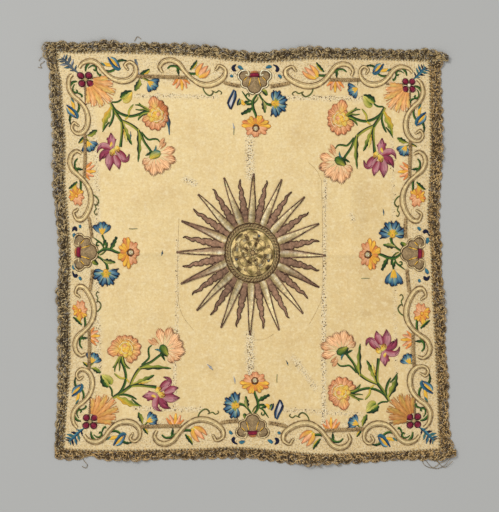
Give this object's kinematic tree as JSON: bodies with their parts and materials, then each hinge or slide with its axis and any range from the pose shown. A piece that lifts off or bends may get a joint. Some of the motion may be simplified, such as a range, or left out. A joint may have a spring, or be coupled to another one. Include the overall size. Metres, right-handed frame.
{
  "type": "chalice veil",
  "caption": "Square cream silk chalice veil lying flat, with a raised gold sunburst, a border of scrolls and flower sprays, and a tarnished metal lace edging.",
  "frame": {"origin": "centre of the veil's outline, on the plane it lies on", "axes": "+X towards the right edge as the face is seen, +Y towards the top edge, +Z out of the face"},
  "size_m": [0.5468, 0.5622, 0.0059],
  "materials": {
    "silk": "plain cream silk with a soft sheen, aged and a little stained",
    "lace": "bobbin lace of tarnished metal thread",
    "gold_thread": "couched metal thread over padding, worn",
    "pale_thread": "pale padded silk with corded edges",
    "peach_silk": "satin stitch in peach silk floss",
    "crimson_silk": "satin stitch in crimson silk floss"
  },
  "bodies": {
    "root": {"silk_ground": "silk", "lace_top": "lace", "lace_right": "lace", "lace_bottom": "lace", "lace_left": "lace", "sunburst": "gold_thread", "medallion": "gold_thread", "medallion_cord": "gold_thread", "palmette_top": "gold_thread", "scroll_top_a_inner": "pale_thread", "braid_top_a_inner": "gold_thread", "scroll_top_a_outer": "pale_thread", "braid_top_a_outer": "gold_thread", "scroll_top_b_inner": "pale_thread", "braid_top_b_inner": "gold_thread", "scroll_top_b_outer": "pale_thread", "braid_top_b_outer": "gold_thread", "palmette_right": "gold_thread", "scroll_right_a_inner": "pale_thread", "braid_right_a_inner": "gold_thread", "scroll_right_a_outer": "pale_thread", "braid_right_a_outer": "gold_thread", "scroll_right_b_inner": "pale_thread", "braid_right_b_inner": "gold_thread", "scroll_right_b_outer": "pale_thread", "braid_right_b_outer": "gold_thread", "palmette_bottom": "gold_thread", "scroll_bottom_a_inner": "pale_thread", "braid_bottom_a_inner": "gold_thread", "scroll_bottom_a_outer": "pale_thread", "braid_bottom_a_outer": "gold_thread", "scroll_bottom_b_inner": "pale_thread", "braid_bottom_b_inner": "gold_thread", "scroll_bottom_b_outer": "pale_thread", "braid_bottom_b_outer": "gold_thread", "palmette_left": "gold_thread", "scroll_left_a_inner": "pale_thread", "braid_left_a_inner": "gold_thread", "scroll_left_a_outer": "pale_thread", "braid_left_a_outer": "gold_thread", "scroll_left_b_inner": "pale_thread", "braid_left_b_inner": "gold_thread", "scroll_left_b_outer": "pale_thread", "braid_left_b_outer": "gold_thread", "shell_top_left": "peach_silk", "quatrefoil_top_left": "crimson_silk", "shell_top_right": "peach_silk", "quatrefoil_top_right": "crimson_silk", "shell_bottom_left": "peach_silk", "quatrefoil_bottom_left": "crimson_silk", "shell_bottom_right": "peach_silk", "quatrefoil_bottom_right": "crimson_silk"}
  },
  "joints": []
}
